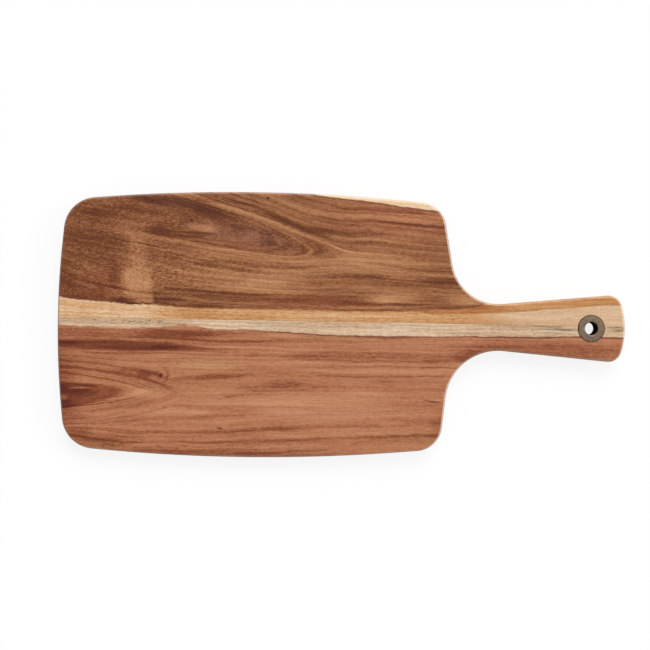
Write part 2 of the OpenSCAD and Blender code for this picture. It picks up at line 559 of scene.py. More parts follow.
def front_section():
    """Rounded mouth, gently crowned flange, rounded rim and tube."""
    mouth = quarter_round(HOLE_R + MOUTH_R, CROWN_Z - MOUTH_R, MOUTH_R, math.pi)
    rim = quarter_round(
        FLANGE_R - FLANGE_RIM_R, CROWN_Z - FLANGE_DROP - FLANGE_RIM_R, FLANGE_RIM_R, QUARTER
    )
    inner_r = mouth[-1][0]
    outer_r = rim[0][0]
    shares = [i / ROUND_STEPS for i in range(1, ROUND_STEPS)]
    crown = [(inner_r + (outer_r - inner_r) * s, CROWN_Z - FLANGE_DROP * s * s) for s in shares]
    tube = [
        (FLANGE_R, FRONT_SEAT_Z),
        (TUBE_R, FRONT_SEAT_Z),
        (TUBE_R, TUBE_END_Z),
        (HOLE_R, TUBE_END_Z),
    ]
    return mouth + crown + rim + tube


def back_section():
    """Collar round the tube, and a flange with a rounded rim under the board."""
    collar = [
        (COLLAR_HOLE_R, COLLAR_END_Z),
        (COLLAR_R, COLLAR_END_Z),
        (COLLAR_R, BACK_SEAT_Z),
        (FLANGE_R, BACK_SEAT_Z),
    ]
    rim = quarter_round(FLANGE_R - FLANGE_RIM_R, BACK_FACE_Z + FLANGE_RIM_R, FLANGE_RIM_R, 0)
    return collar + rim + [(COLLAR_HOLE_R, BACK_FACE_Z)]


def hole_section():
    """The stepped hole in the wood, from the underside up."""
    return [
        (SEAT_R, 0),
        (SEAT_R, BACK_SEAT_Z),
        (BORE_R, BACK_SEAT_Z),
        (BORE_R, FRONT_SEAT_Z),
        (SEAT_R, FRONT_SEAT_Z),
        (SEAT_R, BOARD_T),
    ]


def cut_slab(name, slab, low, high, material):
    """The stretch of the slab between two distances from the middle of the glue film."""
    across = Vector((-math.sin(GLUE_TURN), math.cos(GLUE_TURN), 0))
    middle = Vector((0, GLUE_Y, 0))
    bm = bmesh.new()
    bm.from_mesh(slab)
    for distance, keep_above in ((low, True), (high, False)):
        if distance is None:
            continue
        bmesh.ops.bisect_plane(
            bm,
            geom=bm.verts[:] + bm.edges[:] + bm.faces[:],
            dist=WELD / 10,
            plane_co=middle + across * distance,
            plane_no=across,
            clear_inner=keep_above,
            clear_outer=not keep_above,
        )
        bmesh.ops.holes_fill(bm, edges=[edge for edge in bm.edges if edge.is_boundary], sides=0)
    bmesh.ops.recalc_face_normals(bm, faces=bm.faces)
    mesh = bpy.data.meshes.new(name)
    bm.to_mesh(mesh)
    bm.free()
    mesh.materials.clear()
    mesh.materials.append(material)
    return mesh


def whole_slab(ring_maker, material):
    """The board in one, with its stepped hole, before it is split at the glue film."""
    plate = made_by(
        slab_tree(),
        corner_mesh(),
        Thickness=BOARD_T,
        Edge_Radius=EDGE_R,
        Edge_Land=EDGE_LAND,
        Edge_Steps=EDGE_STEPS,
        Hole_X=EYELET_X,
        Hole_Radius=SEAT_R,
        Hole_Sides=TURNED_SIDES,
        Weld=WELD,
        Material=material,
    )
    lining = made_by(
        ring_maker,
        section_wire("eyelet_hole", hole_section(), closed=False),
        Axis_X=EYELET_X,
        Path_Radius=SEAT_R,
        Sides=TURNED_SIDES,
        Material=material,
    )
    bm = bmesh.new()
    bm.from_mesh(plate)
    bm.from_mesh(lining)
    bmesh.ops.remove_doubles(bm, verts=bm.verts, dist=WELD)
    bmesh.ops.recalc_face_normals(bm, faces=bm.faces)
    bm.to_mesh(plate)
    bm.free()
    return plate


def add_piece(name, mesh, node):
    """Put a finished mesh in the scene in place of a CAD node."""
    mesh.shade_smooth()
    mesh.set_sharp_from_angle(angle=SHARP_ANGLE)
    piece = bpy.data.objects.new(name, mesh)
    bpy.context.collection.objects.link(piece)
    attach(piece, BODY)
    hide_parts(node)
    return piece


# Shader groups that both staves share

Grain = namedtuple("Grain", "across length width depth detail roughness")

# Scales of wood grain, in mm. Rings carries the figure, Across is plain width
GRAIN = {
    "Bands": Grain("Rings", length=210, width=8.5, depth=30, detail=1.5, roughness=0.5),
    "Lines": Grain("Rings", length=95, width=2.1, depth=12, detail=3, roughness=0.6),
    "Fibre": Grain("Rings", length=16, width=0.8, depth=2, detail=2, roughness=0.6),
    "Flecks": Grain("Across", length=4.5, width=1.1, depth=1.5, detail=2, roughness=0.65),
    "Specks": Grain("Across", length=1.9, width=0.85, depth=1.2, detail=2, roughness=0.7),
}
PORES = Grain("Across", length=4.5, width=0.6, depth=0.8, detail=1, roughness=0.5)
PORE_DEPTH = Ease(0.58, 0.7)
ARCH_FADE = 8


def grain_group():
    """Wood grain at each of its scales, and its pores."""
    inputs = ["Along", "Across", "Rings", "Depth"]
    tree, given, result = shader_group("wood_grain", inputs, [*GRAIN, "Pores"])

    def stretched(grain):
        across = given[grain.across] / grain.width
        return vector(given["Along"] / grain.length, across, given["Depth"] / grain.depth)

    for name, grain in GRAIN.items():
        feed(result.inputs[name], swing(stretched(grain), grain.detail, grain.roughness))
    pores = noise(stretched(PORES), PORES.detail, PORES.roughness)
    feed(result.inputs["Pores"], eased(pores, PORE_DEPTH))
    return tree


def grain_line_group():
    """A soft line that keeps to one growth ring between two places along the board."""
    inputs = ["Along", "Rings", "Ring", "Half Width", "From", "To", "Fade"]
    tree, given, result = shader_group("grain_line", inputs, ["Mask"])
    off = (given["Rings"] - given["Ring"]) / given["Half Width"]
    start = smooth(given["Along"], given["From"] - given["Fade"], given["From"] + given["Fade"])
    end = smooth(given["Along"], given["To"] + given["Fade"], given["To"] - given["Fade"])
    feed(result.inputs["Mask"], bell(off) * start * end)
    return tree


def spot_group():
    """A soft oval mark on the board. Its slope is the rise of its length per mm along the board."""
    inputs = ["Along", "Across", "Centre X", "Centre Y", "Half Length", "Half Width", "Slope", "Core"]
    tree, given, result = shader_group("soft_spot", inputs, ["Mask"])
    off_x = given["Along"] - given["Centre X"]
    off_y = given["Across"] - given["Centre Y"] - off_x * given["Slope"]
    u = off_x / given["Half Length"]
    v = off_y / given["Half Width"]
    feed(result.inputs["Mask"], smooth(root(u * u + v * v), 1.0, given["Core"]))
    return tree


def arch_group():
    """A rounded arch of grain, open to the left of its tip, as a soft line and as a filled shape."""
    inputs = ["Along", "Across", "Tip X", "Tip Y", "Climb", "Open", "Soft", "From"]
    tree, given, result = shader_group("grain_arch", inputs, ["Line", "Fill"])
    back = given["Tip X"] - given["Along"]
    off = given["Across"] - given["Tip Y"] - back * given["Climb"]
    past = (off * off / given["Open"] - back) / given["Soft"]
    begun = smooth(given["Along"], given["From"] - ARCH_FADE, given["From"] + ARCH_FADE)
    feed(result.inputs["Line"], bell(past) * begun)
    feed(result.inputs["Fill"], smooth(past, 1.0, -1.0) * begun)
    return tree


# Wood figure, in mm on the serving face

Tongue = namedtuple("Tongue", "tip_x tip_y climb half reach ease pack roundness")
Warp = namedtuple("Warp", "along across")
Line = namedtuple("Line", "x y start end wide tone")
Spot = namedtuple("Spot", "x y long wide tone slope core", defaults=(0.0, 0.1))
Patch = namedtuple("Patch", "left right low high soft tone")
Arch = namedtuple("Arch", "x y climb open soft start tone kind", defaults=("Line",))

UPPER_TONGUE = Tongue(
    tip_x=2, tip_y=51.5, climb=0.225, half=22, reach=68, ease=7, pack=1.1, roundness=1.0
)
LOWER_TONGUE = Tongue(
    tip_x=-123, tip_y=-51.8, climb=0.01, half=20, reach=40, ease=1.5, pack=1.2, roundness=0.5
)
CLIMB_EASE = 4
ARCH_EASE = 1.0
PIN_KNOT = Spot(x=-136, y=-39.5, long=9, wide=4.5, tone=1.3)

# How the rings fan out, make way for a tongue, crowd above it and sag
UPPER_FAN_EASE = 20
UPPER_FAN = Ease(12, 40, 0.06)
UPPER_PUSH_LEAST = 0.2
UPPER_PUSH = Ease(10, 55, 0.8)
UPPER_CROWD = Ease(30, -40, 11)
CROWD_EASE = 1
CROWD_DEPTH = 3
LOWER_PUSH = Ease(14, 0)
LOWER_WARPS = [
    Warp(along=Ease(60, -130, 7.5), across=Ease(-62, -78)),
    Warp(along=Ease(-150, -215, -5), across=Ease(-72, -84)),
    Warp(along=Ease(-40, -170, -3), across=Ease(-30, -14)),
]


def tongue_shape(x, tongue):
    """Half width and climb of a pointed tongue of figure at a place along the board."""
    to_tip = tongue.tip_x - x
    half = tongue.half * (1 - exponent(-soft_ramp(to_tip, tongue.ease) / tongue.reach))
    climb = tongue.climb * soft_ramp(to_tip, CLIMB_EASE * tongue.ease)
    return half, climb


def flank_line(x, y, tongue, aside, wide):
    """A soft line that follows both edges of a tongue."""
    half, climb = tongue_shape(x, tongue)
    return bell((absolute(y - tongue.tip_y - climb) - half - aside) / wide)


def nested(aside, off, half, tongue):
    """Rings that run past a tongue outside its edge and nest inside it."""
    edge = absolute(off) - half
    arched = root(soft_ramp(half * half - off * off, ARCH_EASE))
    depth = arched * tongue.roundness - edge * (1 - tongue.roundness)
    inside = tongue.tip_y + tongue.pack * depth
    return aside + below_zero(edge) * (inside - aside)


def upper_rings(x, y):
    """Growth rings of the dark stave, as the Y that each has where the grain runs straight."""
    half, climb = tongue_shape(x, UPPER_TONGUE)
    off = y - UPPER_TONGUE.tip_y - climb
    fanned = y + soft_ramp(x, UPPER_FAN_EASE) * eased(y, UPPER_FAN)
    push = (climb + sign(off) * half) * (UPPER_PUSH_LEAST + eased(y, UPPER_PUSH))
    crowded = 1 - exponent(-soft_ramp(off - half, CROWD_EASE) / CROWD_DEPTH)
    return nested(fanned - push + eased(x, UPPER_CROWD) * crowded, off, half, UPPER_TONGUE)


def lower_rings(x, y):
    """Growth rings of the red stave, as the Y that each has where the grain runs straight."""
    half, climb = tongue_shape(x, LOWER_TONGUE)
    off = y - LOWER_TONGUE.tip_y - climb
    push = (climb + sign(off) * half) * eased(absolute(off) - half, LOWER_PUSH)
    warped = sum(eased(x, warp.along) * eased(y, warp.across) for warp in LOWER_WARPS)
    knot_x = (x - PIN_KNOT.x) / PIN_KNOT.long
    knot_y = y - PIN_KNOT.y
    swirl = PIN_KNOT.tone * knot_y * bell(knot_x) * bell(knot_y / PIN_KNOT.wide)
    return nested(y - push - swirl, off, half, LOWER_TONGUE) + warped


# Figure of the dark stave, mark by mark. A tone above 0 is paler and one below 0 darker
UPPER_LINES = [
    Line(x=-58, y=48.6, start=-108, end=20, wide=2.2, tone=0.15),
    Line(x=-58, y=44, start=-90, end=-22, wide=1.1, tone=-0.26),
    Line(x=-10, y=41.2, start=-50, end=52, wide=1.5, tone=-0.12),
    Line(x=-20, y=27, start=-64, end=6, wide=0.8, tone=-0.2),
    Line(x=-90, y=23.7, start=-134, end=-58, wide=1.0, tone=-0.22),
    Line(x=-60, y=18.5, start=-146, end=28, wide=2.8, tone=-0.15),
    Line(x=-60, y=16, start=-100, end=-20, wide=0.7, tone=0.1),
    Line(x=-30, y=73.5, start=-58, end=-14, wide=3.1, tone=-0.29),
    Line(x=2, y=69.5, start=-20, end=32, wide=2.0, tone=-0.24),
    Line(x=20, y=79.5, start=-18, end=82, wide=1.5, tone=-0.17),
    Line(x=-3, y=89.6, start=-46, end=60, wide=1.5, tone=-0.18),
    Line(x=-157, y=61.3, start=-178, end=-136, wide=0.6, tone=-0.26),
    Line(x=-172, y=26.7, start=-192, end=-138, wide=0.7, tone=-0.24),
    Line(x=-205, y=32.5, start=-220, end=-190, wide=1.2, tone=-0.12),
    Line(x=40, y=62, start=10, end=84, wide=0.8, tone=-0.12),
    Line(x=60, y=57, start=30, end=86, wide=0.6, tone=-0.1),
]

UPPER_SPOTS = [
    Spot(x=-85, y=77.5, long=6, wide=0.6, tone=0.18, slope=-0.77, core=0.2),
    Spot(x=-80, y=55.7, long=25, wide=0.8, tone=0.2, slope=-0.12, core=0.2),
    Spot(x=-80, y=54.4, long=25, wide=0.7, tone=-0.2, slope=-0.11, core=0.2),
    Spot(x=-77, y=92, long=22, wide=1.8, tone=-0.2, slope=-0.19),
    Spot(x=-104, y=93.5, long=22, wide=3, tone=-0.16, slope=-0.1),
    Spot(x=-154, y=14.9, long=13, wide=1.3, tone=-0.42, core=0.2),
    Spot(x=-170, y=18, long=11, wide=3, tone=-0.22),
    Spot(x=-140.8, y=18.8, long=3, wide=5.6, tone=-0.19),
    Spot(x=-114, y=78.5, long=1.6, wide=1.4, tone=-0.55, core=0.35),
    Spot(x=-118, y=79, long=6, wide=3, tone=-0.14),
    Spot(x=-56.5, y=95.3, long=1.5, wide=1.2, tone=-0.5, core=0.3),
    Spot(x=-106, y=72.6, long=17, wide=4, tone=0.21, slope=-0.18, core=0.4),
    Spot(x=-108, y=69, long=20, wide=1.2, tone=-0.18, slope=-0.03, core=0.2),
    Spot(x=-116, y=66, long=18, wide=2.4, tone=-0.16, slope=-0.04),
    Spot(x=-143, y=94, long=34, wide=5.5, tone=-0.26, slope=-0.12),
    Spot(x=-100, y=86, long=30, wide=6, tone=-0.18, slope=-0.27),
    Spot(x=-50, y=65, long=12, wide=4.5, tone=0.16, slope=-0.2),
    Spot(x=-72, y=73, long=20, wide=4, tone=-0.12, slope=-0.2),
    Spot(x=-183, y=83, long=26, wide=4.5, tone=-0.14, slope=-0.12),
    Spot(x=-193, y=29, long=14, wide=6, tone=0.12),
    Spot(x=-115, y=48, long=13, wide=4.5, tone=0.13),
    Spot(x=-195, y=50, long=36, wide=60, tone=-0.13, core=0.4),
    Spot(x=-104, y=85, long=46, wide=9, tone=-0.14, slope=-0.33, core=0.2),
    Spot(x=-133, y=69.5, long=22, wide=6.5, tone=-0.19, slope=-0.1),
    Spot(x=-152, y=85, long=40, wide=5, tone=-0.1, slope=-0.1),
    Spot(x=-35, y=93, long=32, wide=4.5, tone=-0.16, slope=-0.25),
    Spot(x=-68, y=41.5, long=30, wide=4.5, tone=-0.14),
    Spot(x=-163, y=16.5, long=12, wide=4.5, tone=-0.32),
    Spot(x=-104, y=14.5, long=22, wide=3.2, tone=-0.2, core=0.2),
    Spot(x=-45, y=33.5, long=32, wide=3.5, tone=0.13),
    Spot(x=42, y=37.5, long=18, wide=5, tone=0.12),
    Spot(x=-205, y=45, long=16, wide=7, tone=-0.1),
    Spot(x=-140, y=70, long=16, wide=6, tone=-0.14),
    Spot(x=-172, y=36, long=8, wide=13, tone=-0.17, core=0.2),
    Spot(x=-130, y=17.5, long=17, wide=4.2, tone=-0.22, core=0.2),
    Spot(x=-62, y=27.5, long=58, wide=7.5, tone=0.22, core=0.2),
    Spot(x=38, y=21, long=34, wide=5.5, tone=0.3, core=0.2),
    Spot(x=20, y=43, long=46, wide=6, tone=0.12),
    Spot(x=95, y=20, long=22, wide=6, tone=0.26),
    Spot(x=80, y=34, long=30, wide=4.5, tone=-0.22),
    Spot(x=18, y=37.2, long=30, wide=3.2, tone=-0.12),
    Spot(x=33, y=21, long=12, wide=4, tone=0.1, core=0.2),
    Spot(x=25, y=49, long=48, wide=8, tone=0.15, slope=-0.06),
    Spot(x=-75, y=36, long=60, wide=13, tone=0.14, core=0.2),
    Spot(x=40, y=75, long=60, wide=20, tone=0.1, core=0.3),
    Spot(x=-140, y=55, long=100, wide=70, tone=-0.03, core=0.5),
    Spot(x=-15, y=27, long=90, wide=15, tone=0.04, core=0.4),
]

UPPER_ARCHES = [
    Arch(x=-23.8, y=55.8, climb=0.257, open=3.6, soft=2.1, start=-64, tone=0.21),
    Arch(x=-27.5, y=56.8, climb=0.257, open=3.6, soft=3.5, start=-58, tone=-0.07),
    Arch(x=-48, y=62.5, climb=0.257, open=5, soft=1.8, start=-60, tone=0.08),
    Arch(x=0.5, y=54, climb=0.2, open=1.9, soft=6, start=-30, tone=-0.1, kind="Fill"),
]

UPPER_PATCHES = [
    Patch(left=-164.5, right=-144.5, low=21, high=42, soft=3, tone=0.22),
    Patch(left=-161, right=-149, low=42, high=67, soft=4, tone=0.14),
    Patch(left=-162.5, right=-142.5, low=15.6, high=21, soft=1.0, tone=0.1),
]

# Figure of the red stave, mark by mark
LOWER_LINES = [
    Line(x=-130, y=-11, start=-165, end=-50, wide=0.7, tone=-0.16),
    Line(x=-170, y=-14.3, start=-212, end=-130, wide=0.7, tone=-0.18),
    Line(x=-75, y=-17.2, start=-106, end=-20, wide=0.6, tone=0.12),
    Line(x=-130, y=-22.6, start=-195, end=-55, wide=0.6, tone=-0.16),
    Line(x=-188, y=-30, start=-216, end=-158, wide=0.7, tone=-0.2),
    Line(x=-120, y=-70, start=-208, end=-90, wide=0.7, tone=-0.13),
    Line(x=-125, y=-66, start=-150, end=-96, wide=0.9, tone=0.12),
    Line(x=-130, y=-82, start=-212, end=50, wide=1.2, tone=-0.15),
    Line(x=-130, y=-90.3, start=-212, end=80, wide=1.3, tone=-0.18),
    Line(x=-60, y=-97, start=-80, end=-5, wide=0.8, tone=-0.16),
    Line(x=40, y=-30.6, start=-8, end=92, wide=0.6, tone=-0.18),
    Line(x=30, y=-38, start=-14, end=86, wide=0.8, tone=-0.18),
    Line(x=30, y=-34.5, start=-35, end=84, wide=1.2, tone=0.1),
    Line(x=20, y=-49, start=-4, end=48, wide=0.7, tone=-0.12),
    Line(x=0, y=-18.5, start=-62, end=92, wide=0.7, tone=0.13),
]

LOWER_ARCHES = [
    Arch(x=-162.5, y=-51.3, climb=-0.085, open=2.05, soft=8, start=-240, tone=-0.28, kind="Fill"),
    Arch(x=-130.8, y=-38.8, climb=0, open=8, soft=1.2, start=-132, tone=-0.24),
]

LOWER_SPOTS = [
    Spot(x=-165, y=-16.8, long=90, wide=4.8, tone=-0.33, slope=-0.03, core=0.3),
    Spot(x=-125, y=-7.5, long=54, wide=5.5, tone=-0.28, core=0.2),
    Spot(x=-195, y=-8, long=45, wide=5.5, tone=-0.2),
    Spot(x=-190, y=-28, long=38, wide=7, tone=-0.1),
    Spot(x=-182, y=-88, long=48, wide=6.5, tone=-0.22),
    Spot(x=-65, y=-97, long=36, wide=5, tone=-0.04),
    Spot(x=-15, y=-31, long=45, wide=4, tone=-0.08),
    # Painted shade: the red stave darker towards its far end
    Spot(x=-220, y=-50, long=30, wide=60, tone=-0.24, core=0.2),
    # Painted shade along the lower edge of the red stave
    Spot(x=-110, y=-100, long=170, wide=9, tone=-0.24, core=0.3),
    Spot(x=95, y=-23, long=16, wide=8, tone=-0.16),
    Spot(x=38, y=-8, long=26, wide=3, tone=-0.2),
    Spot(x=-198, y=-82.5, long=16, wide=5, tone=-0.2),
    Spot(x=-198, y=-71.5, long=16, wide=3.4, tone=-0.16),
    Spot(x=150, y=-19, long=95, wide=13, tone=-0.17, core=0.4),
    Spot(x=-146, y=-53, long=22, wide=6, tone=0.2),
    Spot(x=-120, y=-67.5, long=55, wide=5.5, tone=0.13),
    Spot(x=-45, y=-83, long=30, wide=4, tone=0.1),
    Spot(x=14, y=-50, long=42, wide=4, tone=0.17),
    Spot(x=-45, y=-66, long=30, wide=4, tone=0.12),
    Spot(x=-45, y=-8.5, long=26, wide=3, tone=0.15),
    Spot(x=38, y=-74, long=17, wide=3, tone=0.13),
    Spot(x=-8, y=-85, long=42, wide=3.5, tone=0.11),
    Spot(x=-160, y=-35, long=18, wide=4, tone=-0.14),
    Spot(x=75, y=-27, long=24, wide=4, tone=-0.13),
    Spot(x=10, y=-80, long=60, wide=6, tone=0.1, core=0.2),
    Spot(x=-207, y=-14.8, long=14, wide=2.6, tone=-0.16),
    Spot(x=-132, y=-18, long=20, wide=3.4, tone=-0.18),
    Spot(x=-194, y=-52.5, long=15, wide=5, tone=-0.16, core=0.2),
    Spot(x=-207, y=-61, long=6, wide=3, tone=-0.1),
    Spot(x=-192, y=-46.6, long=14, wide=2.6, tone=-0.2),
    Spot(x=-199, y=-49.4, long=13, wide=0.9, tone=0.34, slope=0.09, core=0.2),
    Spot(x=-210, y=-56.5, long=6, wide=3.4, tone=0.26),
    Spot(x=-136, y=-39.5, long=2.2, wide=1.9, tone=-0.48, core=0.2),
    Spot(x=-134.5, y=-38.2, long=4, wide=3.4, tone=0.1, core=0.3),
    Spot(x=-135, y=-38.6, long=8, wide=5, tone=-0.1, core=0.3),
    Spot(x=-147.5, y=-38, long=11, wide=4.6, tone=-0.24, core=0.2),
    Spot(x=-95, y=-39.8, long=40, wide=3.2, tone=-0.2, slope=0.06, core=0.2),
    Spot(x=-102, y=-31.5, long=36, wide=6, tone=0.1, core=0.2),
    Spot(x=-98, y=-49.5, long=36, wide=6, tone=0.1, core=0.2),
    Spot(x=-82, y=-54.5, long=18, wide=1.8, tone=-0.12, slope=0.15),
    Spot(x=-42, y=-44.5, long=26, wide=5, tone=-0.14),
    Spot(x=34, y=-42.5, long=18, wide=3, tone=-0.1),
    Spot(x=24, y=-23.5, long=85, wide=5.5, tone=-0.17, core=0.6),
    Spot(x=-91.5, y=-79, long=3.6, wide=0.8, tone=-0.35, slope=-0.15, core=0.3),
    Spot(x=69, y=-56.4, long=11, wide=0.9, tone=-0.3, slope=-0.17, core=0.2),
    Spot(x=-10, y=-62, long=80, wide=16, tone=0.1, core=0.3),
    Spot(x=-174, y=-92.5, long=18, wide=2, tone=-0.16),
    Spot(x=75, y=-75, long=12, wide=18, tone=-0.1),
]

# Plum and reddish heartwood in the dark stave, and tan heartwood in the red one
PLUM = [
    Spot(x=-75, y=68, long=55, wide=13, tone=0.8, slope=-0.2, core=0.3),
    Spot(x=-128, y=92, long=34, wide=6, tone=0.8, slope=-0.1, core=0.2),
    Spot(x=-130, y=17.5, long=16, wide=4, tone=0.8),
]
RED = [
    Spot(x=45, y=84, long=75, wide=26, tone=0.6, core=0.3),
    Spot(x=-20, y=18, long=75, wide=7, tone=0.5, core=0.3),
    Spot(x=-185, y=28, long=40, wide=16, tone=0.4, core=0.3),
]
TAN = [
    Spot(x=-102, y=-31.5, long=36, wide=7, tone=0.8, core=0.2),
    Spot(x=-98, y=-49.5, long=36, wide=7, tone=0.5, core=0.2),
    Spot(x=-143, y=-50, long=20, wide=6, tone=0.6),
    Spot(x=-10, y=-9.5, long=70, wide=2.6, tone=0.7),
    Spot(x=60, y=-86, long=50, wide=7, tone=0.6),
    Spot(x=-175, y=-91, long=24, wide=4, tone=0.7),
]

# Where the dark stave is most flecked, and where its rings show least
UPPER_FLECKED = [
    Spot(x=-170, y=55, long=90, wide=75, tone=0.5, core=0.3),
    Spot(x=-100, y=38, long=80, wide=20, tone=0.4, core=0.3),
    Spot(x=-60, y=66, long=60, wide=16, tone=0.3, slope=-0.2, core=0.3),
]
UPPER_CALM = [
    Spot(x=-180, y=60, long=75, wide=75, tone=0.5, core=0.5),
    Spot(x=-60, y=66, long=70, wide=17, tone=0.7, slope=-0.22, core=0.5),
]

# Grey stain in the sapwood beside the glue film, speckled or in streaks
STAINS = [
    Spot(x=-175, y=1.6, long=62, wide=2.6, tone=0.85, core=0.3),
    Spot(x=-145, y=0.6, long=28, wide=3.2, tone=0.75, core=0.3),
    Spot(x=-45, y=-0.5, long=36, wide=4, tone=0.35, core=0.2),
    Spot(x=55, y=1.2, long=36, wide=2, tone=0.4),
    Spot(x=125, y=2.3, long=40, wide=1.0, tone=0.9),
]
STREAKS = [
    Spot(x=155, y=1.4, long=22, wide=1.0, tone=1.2, slope=-0.06),
    Spot(x=166, y=-1.2, long=22, wide=1.3, tone=1.2, slope=-0.05),
    Spot(x=160, y=-3.6, long=20, wide=1.0, tone=0.7, slope=-0.02),
    Spot(x=207, y=0.7, long=10, wide=1.0, tone=1.1),
    Spot(x=210, y=-2, long=7, wide=1.2, tone=1.1),
]

# Where heartwood meets sapwood, and where the sapwood turns amber or cream
SAP_LOW = -20
SAP_HIGH = 40
UPPER_SAP_EDGE = Edge(SAP_LOW, SAP_HIGH, [
    (-220, 20), (-200, 17.8), (-180, 16), (-164, 14.6), (-140, 13.8), (-125, 12.6), (-110, 12.2),
    (-60, 12), (10, 11.2), (40, 11.2), (85, 13.4), (100, 14.5), (110, 18.5), (125, 26), (220, 32),
])
AMBER_EDGE = Edge(SAP_LOW, SAP_HIGH, [
    (-220, 30), (-150, 26), (40, 14), (70, 9.6), (100, 10.4), (115, 11), (135, 12.8), (150, 14.3),
    (175, 15.6), (190, 17), (200, 17.8), (220, 17.5),
])
CREAM_EDGE = Edge(60, 120, [
    (-60, 106), (-28, 100), (0, 97), (20, 94.2), (40, 91.5), (55, 89.3), (72, 87.6), (100, 84),
])
LOWER_SAP_EDGE = Edge(SAP_LOW, SAP_HIGH, [
    (-220, -1), (-200, -2.4), (-180, -3.2), (-160, -3.4), (-147, -3), (-133, -1.5), (-121, -0.3),
    (-112, -0.8), (-104, -2.6), (-97, -3.7), (-75, -4), (-60, -4.9), (-45, -5.5), (-25, -6.5),
    (0, -7.2), (60, -6.9), (115, -6.8), (150, -6.4), (180, -6), (205, -6.8), (220, -7),
])

# Light that the oiled surface adds to a colour, and the least that is left of the colour
SHEEN = 0.018
LEAST_COLOUR = 0.004


def oiled(red, green, blue):
    """A wood colour as it looks under its oil, from screen values of 0 to 255."""
    bare = (max(level - SHEEN, LEAST_COLOUR) for level in paint(red, green, blue)[:3])
    return (*bare, 1.0)


def oiled_ramp(*stops):
    """Oiled colours from dark to pale wood. Each stop is a tone and a screen colour."""
    return [(tone, oiled(*colour)) for tone, *colour in stops]


UPPER_HEART = oiled_ramp(
    (0.0, 84, 48, 32), (0.3, 112, 68, 46), (0.5, 150, 99, 69), (0.7, 178, 127, 90), (1.0, 208, 156, 112)
)
UPPER_RED = oiled_ramp(
    (0.0, 88, 47, 32), (0.3, 118, 65, 46), (0.5, 156, 95, 69), (0.7, 184, 122, 90), (1.0, 212, 152, 112)
)
UPPER_PLUM = oiled_ramp(
    (0.0, 82, 49, 38), (0.3, 108, 68, 54), (0.5, 146, 96, 74), (0.7, 172, 120, 92), (1.0, 204, 152, 116)
)
LOWER_HEART = oiled_ramp(
    (0.0, 92, 48, 33), (0.3, 134, 78, 55), (0.5, 175, 116, 85), (0.7, 195, 138, 104), (1.0, 217, 165, 128)
)
LOWER_TAN = oiled_ramp(
    (0.0, 96, 56, 34), (0.3, 130, 84, 54), (0.5, 170, 119, 82), (0.7, 192, 143, 102), (1.0, 216, 170, 127)
)
UPPER_SAP = oiled_ramp(
    (0.0, 165, 104, 62), (0.3, 197, 141, 92), (0.6, 213, 168, 124), (1.0, 238, 210, 178)
)
LOWER_SAP = oiled_ramp(
    (0.0, 150, 116, 88), (0.4, 200, 165, 132), (0.6, 214, 184, 154), (1.0, 238, 216, 190)
)
CREAM = oiled_ramp((0.2, 224, 184, 142), (0.6, 237, 206, 170), (1.0, 244, 221, 191))
STAIN_GREY = oiled(122, 104, 84)
# Pale edge colour: wear on every rounded edge, plus a painted highlight on the edges that face the lamps
WORN_AND_HIGHLIT_EDGE_COLOUR = oiled(228, 206, 192)
# End grain colours that also carry painted shade: grey on the outer edge of the handle tip, dark on the
# far end
END_GRAIN_AND_SHADE = oiled(130, 114, 102)
FAR_END_GRAIN_AND_SHADE = oiled(74, 50, 38)


# Materials

def new_material(name):
    material = bpy.data.materials.new(name)
    material.use_nodes = True
    tree = material.node_tree
    return material, tree, tree.nodes["Principled BSDF"]


def add_bump(shader, height, strength, relief):
    inputs = {"Strength": strength, "Distance": relief, "Height": height}
    feed(shader.inputs["Normal"], wired(height.tree, "ShaderNodeBump", inputs))


def coordinates(tree, output):
    """X, Y and Z of one of the surface's coordinates."""
    node = new_node(tree, "ShaderNodeSeparateXYZ")
    feed(node.inputs[0], new_node(tree, "ShaderNodeTexCoord").outputs[output])
    return [Field(socket) for socket in node.outputs]


def board_place(tree):
    """X, Y and Z on the board, in mm."""
    return [part / MM for part in coordinates(tree, "Object")]


# What both staves share

Waver = namedtuple("Waver", "along across deep detail amount")
Rim = namedtuple("Rim", "place wide tone")
Wood = namedtuple("Wood", "tree groups x y rings grain fine edge_tone rub handle_end far_end")

# How far the figure strays from its lines, in mm
WAVERS = [
    Waver(along=45, across=20, deep=40, detail=2, amount=3.2),
    Waver(along=8, across=5, deep=8, detail=1, amount=1.2),
]
LINE_FADE = 12
LINE_FADE_SHARE = 1 / 4

# Shares of the grain's scales in the tone, the roughness and the relief
FINE_GRAIN = {"Fibre": 0.32, "Flecks": 0.3, "Pores": -0.12, "Specks": 0.45}
ROUGH_GRAIN = {"Fibre": 0.2, "Pores": 0.15}
RAISED_GRAIN = {"Fibre": 1.0, "Pores": -0.8}
SAP_FINE = 1.8

# Edges paler from wear all round, and more on edges that face +X and +Y towards the lamps, which is a
# painted highlight; set by how upright a face is and how far it looks to the handle and to +Y. End grain
# at both ends carries painted shade
EDGE_BAND_TOP = Ease(0.995, 0.88)
EDGE_BAND_WALL = Ease(0.1, 0.45)
RUB_LEAST = 0.3
HIGHLIT_SIDE = Ease(0.1, 0.45, 0.7)
HIGHLIT_LEAN = 0.3
WORN_AND_HIGHLIT_TONE = 0.05
WORN_AND_HIGHLIT_PALE = 0.5
RUB_POLISH = 0.1
RUB_COAT = 0.9
HANDLE_END = Ease(0.6, 0.95, 0.55)
FAR_END = Ease(0.2, 0.8, 0.5)
WOOD_ROUGH = 0.4
WOOD_COAT_ROUGH = 0.25
WOOD_SPECULAR = 0.22
WOOD_BUMP = 0.25
WOOD_RELIEF = 0.15 * MM


def weighed(grain, shares):
    """Scales of the grain, each by its share, added up."""
    return sum(grain[name] * share for name, share in shares.items())


def rim_tone(off, rim):
    """A soft dark line beside a drawn edge."""
    return bell((off - rim.place) / rim.wide) * rim.tone


